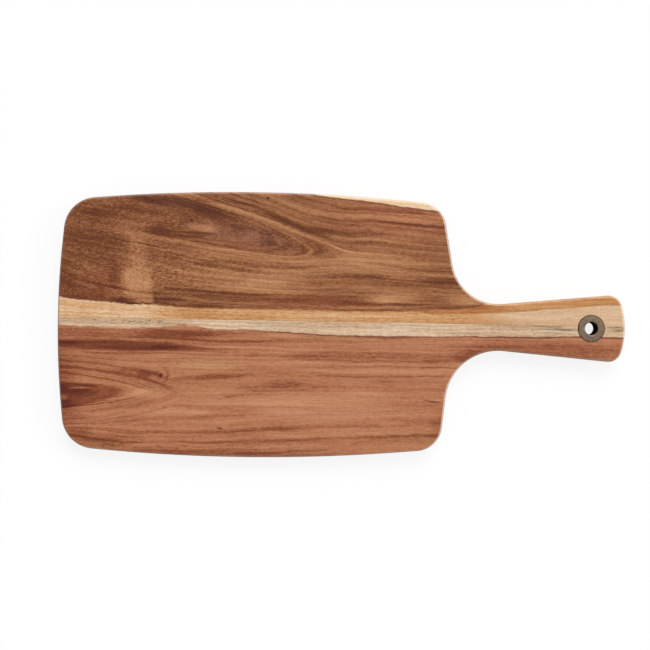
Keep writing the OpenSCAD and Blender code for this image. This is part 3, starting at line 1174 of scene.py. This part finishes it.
def wood_place(tree, groups, dip, ring_rule):
    """Grain and place on a stave. dip is how far its figure leans across per mm of depth."""
    x, y, z = board_place(tree)
    face_x, face_y, face_z = coordinates(tree, "Normal")
    strayed = y + (z - BOARD_T / MM) * dip
    for waver in WAVERS:
        place = vector(x / waver.along, y / waver.across, z / waver.deep)
        strayed = strayed + swing(place, waver.detail) * waver.amount
    rings = ring_rule(x, strayed)
    grain = place_group(tree, groups["grain"], Along=x, Across=strayed, Rings=rings, Depth=z)
    upright = absolute(face_z)
    # Edge mask: wear on every rounded edge, and extra on edges facing +X and +Y, where that extra is a
    # painted highlight
    rub = eased(upright, EDGE_BAND_TOP) * eased(upright, EDGE_BAND_WALL)
    rub = rub * (RUB_LEAST + eased(face_x + face_y * HIGHLIT_LEAN, HIGHLIT_SIDE))
    return Wood(
        tree=tree,
        groups=groups,
        x=x,
        y=strayed,
        rings=rings,
        grain=grain,
        fine=weighed(grain, FINE_GRAIN),
        edge_tone=rub * WORN_AND_HIGHLIT_TONE,
        rub=rub,
        # End faces: end grain darkened with painted shade
        handle_end=eased(face_x, HANDLE_END),
        far_end=eased(-face_x, FAR_END),
    )


def tone_sum(marks, mask_of):
    """The tones of a list of marks, each within its mask, added up."""
    return sum(mask_of(mark) * mark.tone for mark in marks)


def spot_sum(wood, spots):
    def mask(spot):
        return place_group(
            wood.tree,
            wood.groups["spot"],
            Along=wood.x,
            Across=wood.y,
            Centre_X=spot.x,
            Centre_Y=spot.y,
            Half_Length=spot.long,
            Half_Width=spot.wide,
            Slope=spot.slope,
            Core=spot.core,
        )["Mask"]
    return tone_sum(spots, mask)


def line_sum(wood, ring_rule, lines):
    def mask(line):
        return place_group(
            wood.tree,
            wood.groups["line"],
            Along=wood.x,
            Rings=wood.rings,
            Ring=ring_rule(line.x, line.y),
            Half_Width=line.wide,
            From=line.start,
            To=line.end,
            Fade=min(LINE_FADE, (line.end - line.start) * LINE_FADE_SHARE),
        )["Mask"]
    return tone_sum(lines, mask)


def arch_sum(wood, arches):
    def mask(arch):
        return place_group(
            wood.tree,
            wood.groups["arch"],
            Along=wood.x,
            Across=wood.y,
            Tip_X=arch.x,
            Tip_Y=arch.y,
            Climb=arch.climb,
            Open=arch.open,
            Soft=arch.soft,
            From=arch.start,
        )[arch.kind]
    return tone_sum(arches, mask)


def patch_sum(wood, patches):
    """The tones of oblong patches with soft edges, added up."""
    def inside(value, low, high, soft):
        return smooth(value, low - soft, low + soft) * smooth(value, high + soft, high - soft)

    def mask(patch):
        along = inside(wood.x, patch.left, patch.right, patch.soft)
        return along * inside(wood.y, patch.low, patch.high, patch.soft)
    return tone_sum(patches, mask)


def finish_wood(shader, wood, colour):
    """Edges paled by wear and by a painted highlight, end grain with painted shade, gloss and relief over
    a wood's colour.
    """
    # Edges go pale with wear and with a painted highlight on the side that faces the lamps
    colour = mix(wood.rub * WORN_AND_HIGHLIT_PALE, colour, WORN_AND_HIGHLIT_EDGE_COLOUR)
    # End faces take end grain colours that carry painted shade
    colour = mix(wood.far_end, colour, FAR_END_GRAIN_AND_SHADE)
    feed(shader.inputs["Base Color"], mix(wood.handle_end, colour, END_GRAIN_AND_SHADE))
    rough = weighed(wood.grain, ROUGH_GRAIN) + WOOD_ROUGH - wood.rub * RUB_POLISH
    feed(shader.inputs["Roughness"], rough)
    feed(shader.inputs["Coat Weight"], wood.rub * RUB_COAT)
    shader.inputs["Coat Roughness"].default_value = WOOD_COAT_ROUGH
    shader.inputs["Specular IOR Level"].default_value = WOOD_SPECULAR
    add_bump(shader, weighed(wood.grain, RAISED_GRAIN), WOOD_BUMP, WOOD_RELIEF)


# Dark stave: its dip, its grain, its tones, the tongue's flanks and the edges of its sapwood

UPPER_DIP = 0.35
UPPER_FIGURE = {"Bands": 0.6, "Lines": 0.8}
UPPER_SAP_FIGURE = {"Bands": 0.6, "Lines": 1.2}
CREAM_FIGURE = {"Lines": 1.0}
UPPER_TONE = 0.515
UPPER_SAP_TONE = 0.36
CREAM_TONE = 0.6
FLECKED_LESS_FINE = 0.5
FLECKED_SPECKS = 1.25
UPPER_FLANK_ASIDE = 0.7
UPPER_FLANK_WIDE = 1.2
UPPER_FLANK_LOW = Ease(50, 56)
UPPER_FLANK_START = Ease(-116, -80)
UPPER_FLANK_END = Ease(20, 0, 0.18)
SAP_FUZZ = 1.6
FAR_SAP_FUZZ = Ease(-120, -160, 2.4)
CREAM_FUZZ = 0.6
AMBER_FUZZ = 0.8
SAP_RIM = Rim(place=1.2, wide=1.2, tone=0.16)
CREAM_RIM = Rim(place=-0.6, wide=0.6, tone=0.25)
AMBER_RIM = Rim(place=0, wide=0.6, tone=0.3)
AMBER_RIM_START = Ease(60, 160)
UPPER_SAP_STEP = Ease(0.7, -0.7)
CREAM_STEP = Ease(-0.7, 0.7)
AMBER_STEP = Ease(-0.8, 0.8, 0.36)
FAR_PALE = Ease(-110, -150, 0.36)
HANDLE_PALE = Ease(95, 140, 0.28)
HANDLE_QUIET = Ease(60, 130, 0.45)
CREAMY_START = Ease(95, 135, 0.5)
CREAMY_STEP = Ease(0.8, -0.8)


def upper_heartwood(wood, rims):
    """Brown heartwood with a tongue of plum figure."""
    x, y, grain = wood.x, wood.y, wood.grain
    drawn = line_sum(wood, upper_rings, UPPER_LINES) + spot_sum(wood, UPPER_SPOTS)
    drawn = drawn + arch_sum(wood, UPPER_ARCHES) + patch_sum(wood, UPPER_PATCHES)
    flank = flank_line(x, y, UPPER_TONGUE, UPPER_FLANK_ASIDE, UPPER_FLANK_WIDE)
    flank = flank * eased(y, UPPER_FLANK_LOW) * eased(x, UPPER_FLANK_START) * eased(x, UPPER_FLANK_END)
    flecked = spot_sum(wood, UPPER_FLECKED)
    fine = wood.fine * (1 - flecked * FLECKED_LESS_FINE) + flecked * grain["Specks"] * FLECKED_SPECKS
    figure = weighed(grain, UPPER_FIGURE) * (1 - spot_sum(wood, UPPER_CALM))
    # The edge tone adds wear and a painted highlight on the lamp-facing edges
    tone = figure + fine + drawn + flank + wood.edge_tone - rims + UPPER_TONE
    heart = mix(spot_sum(wood, PLUM), ramp(tone, UPPER_HEART), ramp(tone, UPPER_PLUM))
    return mix(spot_sum(wood, RED), heart, ramp(tone, UPPER_RED))


def upper_sapwood(wood):
    """Amber sapwood, paler at the far end and creamy below the amber on the handle."""
    x, grain = wood.x, wood.grain
    off_amber = wood.y - boundary(x, AMBER_EDGE) + grain["Flecks"] * AMBER_FUZZ
    amber = eased(off_amber, AMBER_STEP) + rim_tone(off_amber, AMBER_RIM) * eased(x, AMBER_RIM_START)
    figure = weighed(grain, UPPER_SAP_FIGURE) + wood.fine * SAP_FINE
    pale = eased(x, FAR_PALE) + eased(x, HANDLE_PALE)
    # The edge tone adds wear and a painted highlight on the lamp-facing edges
    tone = figure * (1 - eased(x, HANDLE_QUIET)) + pale - amber + wood.edge_tone + UPPER_SAP_TONE
    creamy = eased(x, CREAMY_START) * eased(off_amber, CREAMY_STEP)
    return mix(creamy, ramp(tone, UPPER_SAP), ramp(tone, LOWER_SAP))


def dark_acacia_material(groups):
    """Oiled acacia of the upper stave: brown heartwood, amber sapwood and a cream wedge."""
    material, tree, shader = new_material("dark_acacia")
    wood = wood_place(tree, groups, UPPER_DIP, upper_rings)
    flecks = wood.grain["Flecks"]
    fuzz = SAP_FUZZ + eased(wood.x, FAR_SAP_FUZZ)
    off_sap = wood.y - boundary(wood.x, UPPER_SAP_EDGE) + flecks * fuzz
    off_cream = wood.y - boundary(wood.x, CREAM_EDGE) + flecks * CREAM_FUZZ
    heart = upper_heartwood(wood, rim_tone(off_sap, SAP_RIM) + rim_tone(off_cream, CREAM_RIM))
    cream = ramp(weighed(wood.grain, CREAM_FIGURE) + wood.fine + CREAM_TONE, CREAM)
    colour = mix(eased(off_sap, UPPER_SAP_STEP), heart, upper_sapwood(wood))
    finish_wood(shader, wood, mix(eased(off_cream, CREAM_STEP), colour, cream))
    return material


# Red stave: its dip, its grain, its tones, the tongue's flanks and the edge of its sapwood

LOWER_DIP = -0.3
LOWER_FIGURE = {"Bands": 0.45, "Lines": 0.5}
LOWER_SAP_FIGURE = {"Lines": 1.3}
LOWER_RAGGED = {"Flecks": 1.4, "Fibre": 1.6}
STAIN_FLECKS = {"Flecks": 1.5, "Fibre": 0.8, "Lines": 0.5}
LOWER_FINE = 0.8
LOWER_TONE = 0.54
LOWER_SAP_TONE = 0.6
LOWER_FLANK_WIDE = 1.5
LOWER_FLANK_START = Ease(-121, -128)
LOWER_FLANK_TONE = 0.07
LOWER_FLANK_FAR = Ease(-130, -160, 0.06)
LOWER_FLANK_UPPER = Ease(-52, -46, 0.16)
LOWER_CALM = Ease(-50, 10, 0.3)
LOWER_EVEN = Ease(-90, -20, 0.7)
LOWER_RIM = Rim(place=-0.3, wide=0.6, tone=1.0)
LOWER_RIM_START = Ease(-90, -30)
LOWER_RIM_TONE = 0.34
LOWER_RIM_HANDLE = Ease(85, 120, 0.2)
LOWER_SAP_STEP = Ease(-0.6, 0.6)
FAR_DULL = Ease(-100, -135, 0.15)
HANDLE_DULL = Ease(85, 115, 0.07)
STAIN_STEP = Ease(-0.04, 0.3)
STREAK_LEAST = 0.6
STREAK_SPECKLE = 0.6


def lower_heartwood(wood, off_sap):
    """Reddish heartwood with a dark point of figure and a thin dark line along its sapwood."""
    x, y = wood.x, wood.y
    drawn = line_sum(wood, lower_rings, LOWER_LINES) + spot_sum(wood, LOWER_SPOTS)
    flank = flank_line(x, y, LOWER_TONGUE, 0, LOWER_FLANK_WIDE) * eased(x, LOWER_FLANK_START)
    flank = flank * (LOWER_FLANK_TONE + eased(x, LOWER_FLANK_FAR) + eased(y, LOWER_FLANK_UPPER))
    drawn = drawn + arch_sum(wood, LOWER_ARCHES) - flank
    figure = weighed(wood.grain, LOWER_FIGURE) * (1 - eased(x, LOWER_CALM))
    thin_line = rim_tone(off_sap, LOWER_RIM) * eased(x, LOWER_RIM_START)
    thin_line = thin_line * (LOWER_RIM_TONE + eased(x, LOWER_RIM_HANDLE))
    # The edge tone adds wear and a painted highlight on the lamp-facing edges
    tone = figure + wood.fine * LOWER_FINE + drawn + wood.edge_tone - thin_line + LOWER_TONE
    return mix(spot_sum(wood, TAN), ramp(tone, LOWER_HEART), ramp(tone, LOWER_TAN))


def lower_sapwood(wood):
    """Pale sapwood with grey stain."""
    figure = weighed(wood.grain, LOWER_SAP_FIGURE) + wood.fine * SAP_FINE
    dull = eased(wood.x, FAR_DULL) + eased(wood.x, HANDLE_DULL)
    # The edge tone adds wear and a painted highlight on the lamp-facing edges
    tone = figure + wood.edge_tone + LOWER_SAP_TONE - dull
    speckle = eased(weighed(wood.grain, STAIN_FLECKS), STAIN_STEP)
    streaks = spot_sum(wood, STREAKS) * (STREAK_LEAST + STREAK_SPECKLE * speckle)
    stain = spot_sum(wood, STAINS) * speckle + streaks
    return mix(stain, ramp(tone, LOWER_SAP), STAIN_GREY)


def red_acacia_material(groups):
    """Oiled acacia of the lower stave: reddish heartwood and grey-stained pale sapwood."""
    material, tree, shader = new_material("red_acacia")
    wood = wood_place(tree, groups, LOWER_DIP, lower_rings)
    ragged = weighed(wood.grain, LOWER_RAGGED) * (1 - eased(wood.x, LOWER_EVEN))
    off_sap = wood.y - boundary(wood.x, LOWER_SAP_EDGE) + ragged
    heart = lower_heartwood(wood, off_sap)
    finish_wood(shader, wood, mix(eased(off_sap, LOWER_SAP_STEP), heart, lower_sapwood(wood)))
    return material


# Glue film

GLUE_COLOURS = [(0.35, paint(100, 76, 54)), (0.6, paint(184, 148, 110))]
GLUE_PATCH_L = 14
GLUE_PATCH_W = 3
GLUE_DETAIL = 3
GLUE_ROUGH = 0.4
GLUE_PATCH_ROUGH = 0.2


def glue_material():
    """Cured wood glue, patchy along the joint."""
    material, tree, shader = new_material("wood_glue")
    x, y, z = board_place(tree)
    patch = noise(vector(x / GLUE_PATCH_L, y / GLUE_PATCH_W, z / GLUE_PATCH_W), GLUE_DETAIL)
    feed(shader.inputs["Base Color"], ramp(patch, GLUE_COLOURS))
    feed(shader.inputs["Roughness"], patch * GLUE_PATCH_ROUGH + GLUE_ROUGH)
    return material


# Bronze of the eyelet

BRONZE_COLOURS = [
    (0.0, paint(20, 13, 9)),
    (0.2, paint(64, 47, 34)),
    (0.5, paint(113, 97, 82)),
    (0.9, paint(142, 125, 108)),
]
BRONZE_TONE = 0.05
BRONZE_ROUGH = 0.32
BRONZE_BUMP = 0.1
BRONZE_RELIEF = 0.05 * MM
MOTTLE_L = 1.6
MOTTLE_DETAIL = 4
MOTTLE_FINE = 0.6
MOTTLE_TONE = 0.6
MOTTLE_ROUGH = 0.3
MOTTLE_RELIEF = 0.5
TURNED_R = 0.14
TURNED_Z = 0.3
TURNED_DETAIL = 2
TURNED_TONE = 0.3
RIM_TARNISH = Ease(FLANGE_R / MM - 1.0, FLANGE_R / MM - 0.2, 0.3)
# Painted shade inside the tube of the eyelet
BORE_SHADE = Ease(HOLE_R / MM + 0.45, HOLE_R / MM - 0.05)
BORE_TONE = 0.75


def bronze_material():
    """Satin bronze with a brown tarnish at the rim, and painted shade that darkens the bore."""
    material, tree, shader = new_material("aged_bronze")
    x, y, z = board_place(tree)
    off_x = x - EYELET_X / MM
    radius = root(off_x * off_x + y * y)
    mottle = noise(vector(x / MOTTLE_L, y / MOTTLE_L, z / MOTTLE_L), MOTTLE_DETAIL, MOTTLE_FINE)
    turned = noise(vector(radius / TURNED_R, z / TURNED_Z, 0.0), TURNED_DETAIL)
    # Painted shade in the bore: dark and not metallic there
    bore = eased(radius, BORE_SHADE)
    tone = mottle * MOTTLE_TONE + turned * TURNED_TONE + BRONZE_TONE
    tone = tone - eased(radius, RIM_TARNISH) - bore * BORE_TONE
    feed(shader.inputs["Base Color"], ramp(tone, BRONZE_COLOURS))
    feed(shader.inputs["Metallic"], 1 - bore)
    shader.inputs["Specular IOR Level"].default_value = 0.0
    feed(shader.inputs["Roughness"], mottle * MOTTLE_ROUGH + BRONZE_ROUGH)
    add_bump(shader, turned + mottle * MOTTLE_RELIEF, BRONZE_BUMP, BRONZE_RELIEF)
    return material


# Camera, light and floor. The lamps' angles are in degrees

Lamp = namedtuple("Lamp", "name share elevation azimuth angle")

FRAME_W = 492.8 * MM
VIEW_X = -12.4 * MM
VIEW_Y = 0.35 * MM
VIEW_PLANE_Z = BOARD_T - EDGE_R
VIEW_DISTANCE = 850 * MM
VIEW_ROLL = 0.0115
VIEW_END = 100
SENSOR = 36
WHITE = (1, 1, 1, 1)
SKY = 0.45
LAMPS = [
    Lamp("key", share=0.41, elevation=45, azimuth=75, angle=35),
    Lamp("side", share=0.14, elevation=30, azimuth=10, angle=24),
]
FLOOR_HALF = 4.0
FLOOR_Z = -0.05 * MM
FLOOR_GLOW = 0.85


def add_camera():
    """A camera straight above the board, turned a little round its own axis."""
    data = bpy.data.cameras.new("camera")
    data.sensor_width = SENSOR
    data.lens = SENSOR * VIEW_DISTANCE / FRAME_W
    data.clip_end = VIEW_END
    camera = bpy.data.objects.new("camera", data)
    camera.location = (VIEW_X, VIEW_Y, VIEW_PLANE_Z + VIEW_DISTANCE)
    camera.rotation_euler = (0, 0, VIEW_ROLL)
    bpy.context.collection.objects.link(camera)
    bpy.context.scene.camera = camera


def add_lamp(lamp):
    """A soft sun that gives a flat face its share of the light."""
    elevation = math.radians(lamp.elevation)
    data = bpy.data.lights.new(lamp.name, "SUN")
    data.angle = math.radians(lamp.angle)
    data.energy = lamp.share * math.pi / math.sin(elevation)
    light = bpy.data.objects.new(lamp.name, data)
    across = direction(math.radians(lamp.azimuth)) * math.cos(elevation)
    to_light = Vector((across.x, across.y, math.sin(elevation)))
    light.rotation_euler = to_light.to_track_quat("Z", "Y").to_euler()
    bpy.context.collection.objects.link(light)


def seen_directly(tree):
    """1 where the camera looks straight at something, or sees it in a reflection."""
    path = new_node(tree, "ShaderNodeLightPath")
    glossy = Field(path.outputs["Is Glossy Ray"])
    through = Field(path.outputs["Is Transmission Ray"])
    return calc("MAXIMUM", Field(path.outputs["Is Camera Ray"]), calc("MAXIMUM", glossy, through))


def add_sky():
    """An even white sky, seen at full white and lighting the board at its own level."""
    world = bpy.data.worlds.new("studio")
    bpy.context.scene.world = world
    world.use_nodes = True
    tree = world.node_tree
    background = tree.nodes["Background"]
    background.inputs["Color"].default_value = WHITE
    feed(background.inputs["Strength"], seen_directly(tree) * (1 - SKY) + SKY)


def add_floor():
    """A white floor that keeps the board's shadow."""
    mesh = bpy.data.meshes.new("floor")
    corners = ((-1, -1), (1, -1), (1, 1), (-1, 1))
    points = [(x * FLOOR_HALF, y * FLOOR_HALF, FLOOR_Z) for x, y in corners]
    mesh.from_pydata(points, [], [(0, 1, 2, 3)])
    material, tree, shader = new_material("white_floor")
    shader.inputs["Base Color"].default_value = WHITE
    shader.inputs["Roughness"].default_value = 1.0
    shader.inputs["Specular IOR Level"].default_value = 0.0
    glow = new_node(tree, "ShaderNodeEmission")
    shared = new_node(tree, "ShaderNodeMixShader")
    feed(shared.inputs[0], seen_directly(tree) * FLOOR_GLOW)
    feed(shared.inputs[1], shader.outputs[0])
    feed(shared.inputs[2], glow.outputs[0])
    feed(tree.nodes["Material Output"].inputs["Surface"], shared.outputs[0])
    mesh.materials.append(material)
    floor = bpy.data.objects.new("floor", mesh)
    bpy.context.collection.objects.link(floor)


def build():
    """Make the materials and the five pieces, each in place of its CAD node."""
    groups = {
        "grain": grain_group(),
        "line": grain_line_group(),
        "spot": spot_group(),
        "arch": arch_group(),
    }
    dark_acacia = dark_acacia_material(groups)
    red_acacia = red_acacia_material(groups)
    glue = glue_material()
    bronze = bronze_material()
    ring_maker = turned_tree()
    slab = whole_slab(ring_maker, dark_acacia)
    half_glue = GLUE_T / 2
    for name, node, slot, material, low, high in (
        ("dark_stave", "upper_stave", "dark_acacia", dark_acacia, half_glue, None),
        ("red_stave", "lower_stave", "red_acacia", red_acacia, None, -half_glue),
        ("glue_film", "glue_line", "wood_glue", glue, -half_glue, half_glue),
    ):
        add_piece(name, cut_slab(name, slab, low, high, material), node)
    for name, node, section in (
        ("eyelet_face", "eyelet_front", front_section()),
        ("eyelet_backing", "eyelet_back", back_section()),
    ):
        ring = made_by(
            ring_maker,
            section_wire(name, section, closed=True),
            Axis_X=EYELET_X,
            Path_Radius=FLANGE_R,
            Sides=TURNED_SIDES,
            Material=bronze,
        )
        ring.name = name
        add_piece(name, ring, node)


bpy.context.scene.view_settings.view_transform = "Standard"
build()
add_camera()
for lamp in LAMPS:
    add_lamp(lamp)
add_sky()
add_floor()
